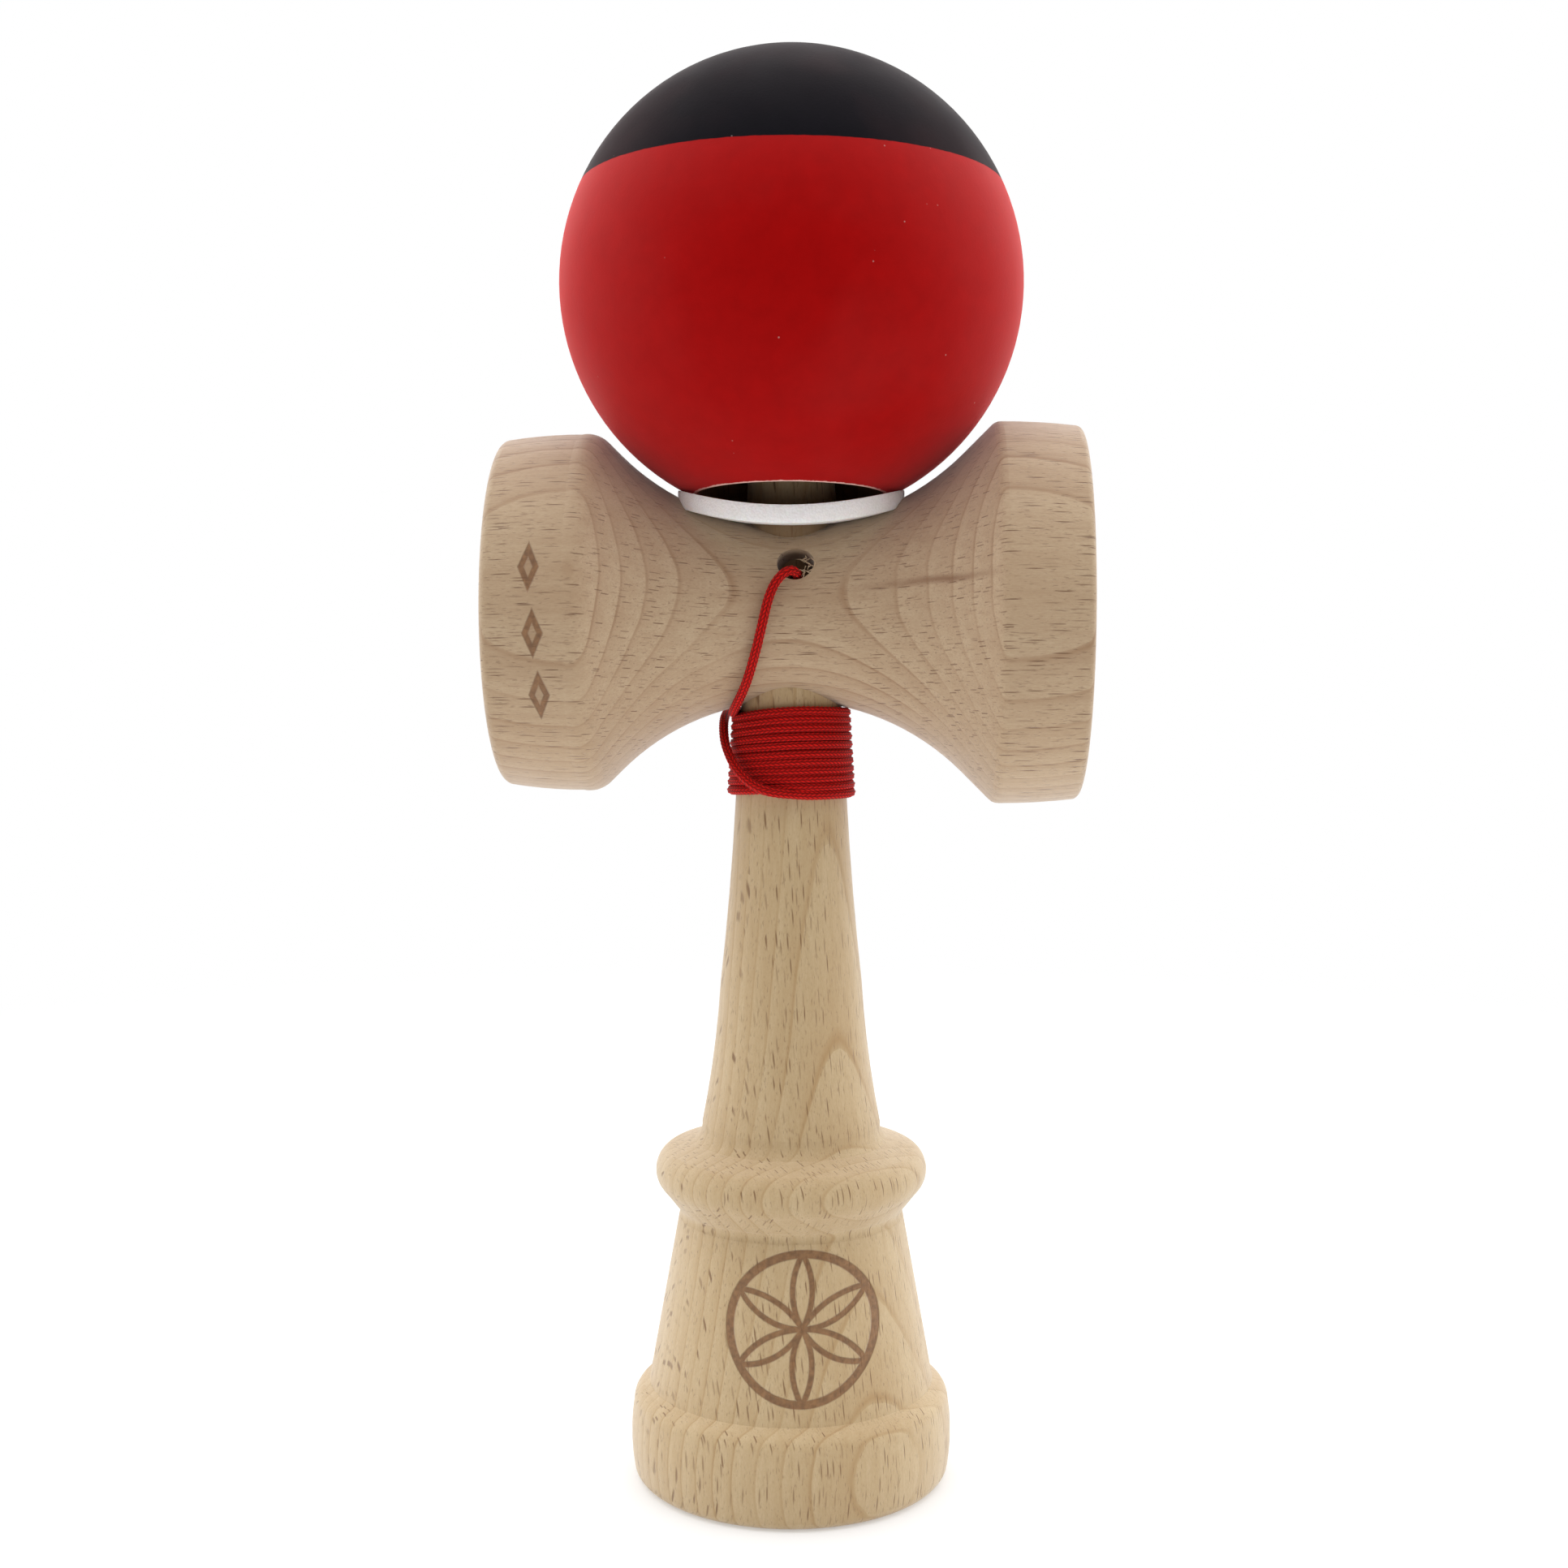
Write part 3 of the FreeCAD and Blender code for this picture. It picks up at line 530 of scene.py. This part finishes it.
def spline_points(route):
    """The smooth line through a route's control points, evenly divided."""
    data = bpy.data.curves.new("route", "CURVE")
    data.dimensions = "3D"
    data.resolution_u = 8
    spline = data.splines.new("NURBS")
    spline.points.add(len(route) - 1)
    for point, place in zip(spline.points, route):
        point.co = (*place, 1.0)
    spline.order_u = 3
    spline.use_endpoint_u = True
    holder = bpy.data.objects.new("route", data)
    bpy.context.scene.collection.objects.link(holder)
    bpy.context.view_layer.update()
    graph = bpy.context.evaluated_depsgraph_get()
    mesh = bpy.data.meshes.new_from_object(holder.evaluated_get(graph))
    line = np.array([v.co[:] for v in mesh.vertices])
    bpy.data.meshes.remove(mesh)
    bpy.data.objects.remove(holder)
    bpy.data.curves.remove(data)
    return line


def resample(line, spacing):
    lengths = np.concatenate([[0], np.cumsum(np.linalg.norm(np.diff(line, axis=0), axis=1))])
    wanted = np.linspace(0, lengths[-1], int(lengths[-1] / spacing) + 1)
    return np.stack([np.interp(wanted, lengths, line[:, k]) for k in range(3)], axis=1), wanted


def carried_frames(line):
    """Two directions square to the line at every point, carried along it without twisting."""
    ahead = np.gradient(line, axis=0)
    ahead /= np.linalg.norm(ahead, axis=1)[:, None]
    sideways = np.zeros_like(line)
    first = np.cross(ahead[0], (0.0, 0.0, 1.0))
    sideways[0] = first / np.linalg.norm(first)
    for k in range(1, len(line)):
        carried = sideways[k - 1] - ahead[k] * np.dot(sideways[k - 1], ahead[k])
        sideways[k] = carried / np.linalg.norm(carried)
    return sideways, np.cross(ahead, sideways)


COLUMNS = 8
SIDES = 16
PLAIT_LENGTH = 0.64 * MM
RING_SPACING = 0.13 * MM
PLAIT_HEIGHT = 0.09 * MM


def braided_tube(name, line, spacing=RING_SPACING):
    """A tube along a line, with the surface of a round braid: columns of plaits, each half a plait on."""
    line, travelled = resample(line, spacing)
    side, up = carried_frames(line)
    mesh = bpy.data.meshes.new(name)
    turn = np.arange(SIDES) / SIDES
    column = turn * COLUMNS
    crown_across = np.abs(np.sin(np.pi * column))
    shift = 0.5 * (np.floor(column) % 2)
    crown_along = np.abs(np.sin(np.pi * (travelled[:, None] / PLAIT_LENGTH + shift[None, :])))
    lift = crown_across[None, :] * (0.35 + 0.65 * crown_along)
    radius = CORD_DIAMETER / 2 - 0.6 * PLAIT_HEIGHT + PLAIT_HEIGHT * lift
    radius[0] *= 0.7
    radius[-1] *= 0.7
    angle = turn * 2 * np.pi
    outward = side[:, None, :] * np.cos(angle)[None, :, None]
    outward = outward + up[:, None, :] * np.sin(angle)[None, :, None]
    places = (line[:, None, :] + outward * radius[:, :, None]).reshape(-1, 3)
    rings = len(line)
    quads = []
    for ring in range(rings - 1):
        start = ring * SIDES
        for k in range(SIDES):
            after = (k + 1) % SIDES
            quads.append((start + k, start + after, start + SIDES + after, start + SIDES + k))
    caps = [tuple(range(SIDES - 1, -1, -1)), tuple(range((rings - 1) * SIDES, rings * SIDES))]
    mesh.from_pydata(places.tolist(), [], quads + caps)
    layer = mesh.uv_layers.new(name="braid")
    values = np.zeros((len(mesh.loops), 2))
    corner = 0
    along = travelled / PLAIT_LENGTH
    for ring in range(rings - 1):
        for k in range(SIDES):
            low, high = k * COLUMNS / SIDES, (k + 1) * COLUMNS / SIDES
            values[corner:corner + 4, 0] = (low, high, high, low)
            values[corner:corner + 4, 1] = (along[ring], along[ring], along[ring + 1], along[ring + 1])
            corner += 4
    layer.data.foreach_set("uv", values.ravel())
    mesh.polygons.foreach_set("use_smooth", [True] * len(mesh.polygons))
    made = bpy.data.objects.new(name, mesh)
    bpy.context.scene.collection.objects.link(made)
    return made, line


def make_string(material):
    rng = random.Random(7)
    route = FRONT_STRAND + turns_route(rng) + TAIL_STRAND + BALL_STRAND
    line = spline_points(route)
    string, path = braided_tube("string", line)
    string.data.materials.append(material)
    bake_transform(string)
    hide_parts("cord_front_strand", "cord_winding", "cord_tail_strand", "cord_ball_strand")
    return string, path


def make_knot(name, centre, body, node, material, turn):
    """An overhand knot pulled tight: a small trefoil of the same braid."""
    points = []
    for t in np.linspace(0, 2 * np.pi, 90):
        x = math.sin(t) + 2 * math.sin(2 * t)
        y = math.cos(t) - 2 * math.cos(2 * t)
        z = -math.sin(3 * t)
        c, s = math.cos(turn), math.sin(turn)
        points.append((
            centre[0] + 0.29 * MM * (c * x - s * y),
            centre[1] + 0.29 * MM * (s * x + c * y),
            centre[2] + 0.55 * MM * z,
        ))
    knot, _ = braided_tube(name, np.array(points))
    knot.data.materials.append(material)
    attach(knot, body)
    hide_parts(node)
    return knot


def middle(node):
    low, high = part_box(node)
    return (low + high) / 2


# ---------------------------------------------------------------- the foam washer
FOAM_HOLE, FOAM_RADIUS = 6.8 * MM, 14.75 * MM
FOAM_THICK = 2.3 * MM
FOAM_TOP = 129.4 * MM
FOAM_BEND = 45 * MM


def cup_top(x, y):
    """The cross-cup's upper surface near its waist."""
    waist = WAIST_RADIUS + VALLEY_RADIUS - math.sqrt(VALLEY_RADIUS ** 2 - x * x)
    return CUP_AXIS + math.sqrt(max(waist * waist - y * y, 0.0))


def make_washer(material):
    """A foam ring bent over the cross-cup, squeezed thin where the ball presses it on the cup."""
    rng = random.Random(3)
    around, across, edge = 160, 10, 4
    section = []
    for k in range(across + 1):
        section.append((k / across, 1.0))
    for k in range(1, edge):
        section.append((1.0, 1.0 - k / edge))
    for k in range(across, -1, -1):
        section.append((k / across, 0.0))
    for k in range(1, edge):
        section.append((0.0, k / edge))
    mesh = bpy.data.meshes.new("foam_ring")
    builder = bmesh.new()
    rings = []
    wobble = [rng.uniform(-1, 1) for _ in range(around)]
    for number in range(around):
        angle = 2 * math.pi * number / around
        rough = 0.04 * MM * (wobble[number - 1] + wobble[number] + wobble[(number + 1) % around]) / 3
        ring = []
        for out, high in section:
            radius = FOAM_HOLE + (FOAM_RADIUS - FOAM_HOLE) * out + rough * (1 if out > 0.5 else -1)
            x, y = radius * math.cos(angle), radius * math.sin(angle)
            top = FOAM_TOP + x * x / (2 * FOAM_BEND)
            bottom = max(top - FOAM_THICK, cup_top(x, y) + 0.03 * MM)
            belly = 0.05 * MM * math.sin(math.pi * high) if out > 0.5 else 0.0
            push = 1 + belly / radius
            ring.append(builder.verts.new((x * push, y * push, bottom + (top - bottom) * high)))
        rings.append(ring)
    for number in range(around):
        here, there = rings[number], rings[(number + 1) % around]
        for k in range(len(section)):
            after = (k + 1) % len(section)
            builder.faces.new((here[k], there[k], there[after], here[after]))
    bmesh.ops.recalc_face_normals(builder, faces=builder.faces)
    builder.to_mesh(mesh)
    builder.free()
    mesh.polygons.foreach_set("use_smooth", [True] * len(mesh.polygons))
    washer = bpy.data.objects.new("foam_ring", mesh)
    bpy.context.scene.collection.objects.link(washer)
    bevel = washer.modifiers.new("edges", "BEVEL")
    bevel.width = 0.06 * MM
    bevel.segments = 2
    bevel.limit_method = "ANGLE"
    bevel.angle_limit = math.radians(50)
    washer.data.materials.append(material)
    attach(washer, "ken")
    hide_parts("foam_washer")
    return washer


# ---------------------------------------------------------------- torn fibres
def splinter(builder, root, way, length, half, curl):
    """One torn fibre: a thin blade that narrows to a point."""
    side = way.cross(Vector((0, 1, 0.2))).normalized() * half
    deep = way.cross(side).normalized() * half * 0.6
    corners = ((1, 1), (1, -1), (-1, -1), (-1, 1))
    middle_point = root + way * length * 0.6
    base = [builder.verts.new(root + s * side + d * deep) for s, d in corners]
    ring = [builder.verts.new(middle_point + 0.6 * (s * side + d * deep)) for s, d in corners]
    tip = builder.verts.new(root + way * length + curl * length)
    builder.faces.new(base[::-1])
    for k in range(4):
        after = (k + 1) % 4
        builder.faces.new((base[k], base[after], ring[after], ring[k]))
        builder.faces.new((ring[k], ring[after], tip))


def cup_front(x, z):
    """The cross-cup's front surface near its waist."""
    waist = WAIST_RADIUS + VALLEY_RADIUS - math.sqrt(VALLEY_RADIUS ** 2 - x * x)
    return -math.sqrt(waist * waist - (z - CUP_AXIS) ** 2)


def make_splinters(material):
    """Torn fibres at the right of the string hole, and in front of the shaft's hole under the washer."""
    rng = random.Random(12)
    mesh = bpy.data.meshes.new("torn_fibres")
    builder = bmesh.new()
    for _ in range(20):
        x, z = rng.uniform(2.0, 3.3) * MM, rng.uniform(120.4, 123.2) * MM
        root = Vector((x, cup_front(x, z) + 0.05 * MM, z))
        way = Vector((rng.uniform(-1.0, 0.2), rng.uniform(-0.5, -0.1), rng.uniform(-0.9, 0.6)))
        way.normalize()
        curl = Vector((rng.uniform(-0.2, 0.2), -0.12, rng.uniform(-0.2, 0.2)))
        splinter(builder, root, way, rng.uniform(0.6, 1.4) * MM, rng.uniform(0.04, 0.09) * MM, curl)
    for _ in range(40):
        x, z = rng.uniform(-5.5, 5.0) * MM, rng.uniform(124.4, 125.6) * MM
        root = Vector((x, cup_front(x, z) + 0.05 * MM, z))
        way = Vector((rng.choice((-1.0, 1.0)), rng.uniform(-0.2, 0.0), rng.uniform(0.0, 0.35)))
        way.normalize()
        curl = Vector((0.0, rng.uniform(-0.1, 0.0), rng.uniform(0.0, 0.15)))
        splinter(builder, root, way, rng.uniform(0.4, 0.9) * MM, rng.uniform(0.02, 0.04) * MM, curl)
    bmesh.ops.recalc_face_normals(builder, faces=builder.faces)
    builder.to_mesh(mesh)
    builder.free()
    splinters = bpy.data.objects.new("torn_fibres", mesh)
    bpy.context.scene.collection.objects.link(splinters)
    splinters.data.materials.append(material)
    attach(splinters, "ken")
    return splinters


# ---------------------------------------------------------------- studio
def make_floor():
    bpy.ops.mesh.primitive_circle_add(vertices=128, radius=1.5, fill_type="NGON", location=(0, 0, 0))
    floor = bpy.context.object
    floor.name = "floor"
    shader = Shader("floor_white")
    place = shader.place()
    paper = shader.noise(place, 40.0, 3.0)
    color = shader.mix(paper, (0.93, 0.93, 0.93, 1), (0.96, 0.96, 0.96, 1))
    shader.plug(shader.surface.inputs["Base Color"], color)
    shader.surface.inputs["Roughness"].default_value = 0.9
    away = shader.length(place)
    glow = shader.node("ShaderNodeEmission", {"Color": (1, 1, 1, 1), "Strength": 1.0})
    share = shader.ramp(away, 0.12, 0.4, 0.35, 1.0, True)
    blend = shader.node("ShaderNodeMixShader", {0: share, 1: shader.surface.outputs[0], 2: glow})
    shader.plug(shader.tree.nodes["Material Output"].inputs[0], blend)
    floor.data.materials.append(shader.material)


def softbox(name, azimuth, elevation, distance, size, power):
    """A square area light aimed at the middle of the object. Azimuth 0 is behind the camera."""
    data = bpy.data.lights.new(name, "AREA")
    data.shape = "RECTANGLE"
    data.size, data.size_y = size
    data.energy = power
    light = bpy.data.objects.new(name, data)
    bpy.context.scene.collection.objects.link(light)
    turn, rise = math.radians(azimuth), math.radians(elevation)
    aim = Vector((0, 0, 0.1))
    light.location = aim + distance * Vector((
        math.sin(turn) * math.cos(rise), -math.cos(turn) * math.cos(rise), math.sin(rise)
    ))
    light.rotation_euler = (aim - light.location).to_track_quat("-Z", "Y").to_euler()


def make_studio():
    make_floor()
    world = bpy.data.worlds.new("studio")
    bpy.context.scene.world = world
    world.use_nodes = True
    tree = world.node_tree
    background = tree.nodes["Background"]
    background.inputs["Color"].default_value = (1, 1, 1, 1)
    # what lights the object: a pale tent, open and dark towards the viewer
    direction = tree.nodes.new("ShaderNodeTexCoord")
    split = tree.nodes.new("ShaderNodeSeparateXYZ")
    tent = tree.nodes.new("ShaderNodeMapRange")
    tent.interpolation_type = "SMOOTHSTEP"
    for socket, value in zip(tent.inputs[1:5], (-0.9, -0.15, 0.04, 1.62)):
        socket.default_value = value
    # a little more comes from above than from below
    above = tree.nodes.new("ShaderNodeMapRange")
    for socket, value in zip(above.inputs[1:5], (-0.5, 0.5, 0.74, 1.2)):
        socket.default_value = value
    lit = tree.nodes.new("ShaderNodeMath")
    lit.operation = "MULTIPLY"
    path = tree.nodes.new("ShaderNodeLightPath")
    seen = tree.nodes.new("ShaderNodeMix")
    seen.inputs[3].default_value = 1.0
    tree.links.new(direction.outputs["Generated"], split.inputs[0])
    tree.links.new(split.outputs["Y"], tent.inputs[0])
    tree.links.new(path.outputs["Is Camera Ray"], seen.inputs[0])
    tree.links.new(split.outputs["Z"], above.inputs[0])
    tree.links.new(tent.outputs[0], lit.inputs[0])
    tree.links.new(above.outputs[0], lit.inputs[1])
    tree.links.new(lit.outputs[0], seen.inputs[2])
    tree.links.new(seen.outputs[0], background.inputs["Strength"])
    softbox("top", 0, 75, 0.8, (0.6, 0.6), 0.8)
    bpy.context.scene.view_settings.view_transform = "Standard"
    bpy.context.scene.view_settings.look = "None"


def make_camera():
    data = bpy.data.cameras.new("camera")
    data.sensor_width = 36
    data.lens = 49.38
    data.clip_start = 0.01
    camera = bpy.data.objects.new("camera", data)
    bpy.context.scene.collection.objects.link(camera)
    turn = math.radians(2.2)
    out, aside = 0.2837, -0.00096
    camera.location = (
        aside * math.cos(turn) + out * math.sin(turn),
        aside * math.sin(turn) - out * math.cos(turn),
        0.1181,
    )
    camera.rotation_euler = (math.radians(85), 0, turn)
    bpy.context.scene.camera = camera


# ---------------------------------------------------------------- everything
def dress(node, material):
    """Gives a CAD node its material."""
    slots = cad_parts[node].data.materials
    slots.clear()
    slots.append(material)


def main():
    make_camera()
    make_studio()
    cord = cord_material()
    cup = cup_material()
    dress("ken", ken_material())
    dress("sarado", cup)
    dress("tama", ball_material())
    dress("string_bead", bead_material())
    make_washer(foam_material())
    make_splinters(cup)
    string, path = make_string(cord)
    knots = [
        make_knot("ken_knot", middle("ken_end_knot"), "ken", "ken_end_knot", cord, 0.4),
        make_knot("ball_knot", middle("ball_end_knot"), "bead", "ball_end_knot", cord, 1.3),
    ]


main()
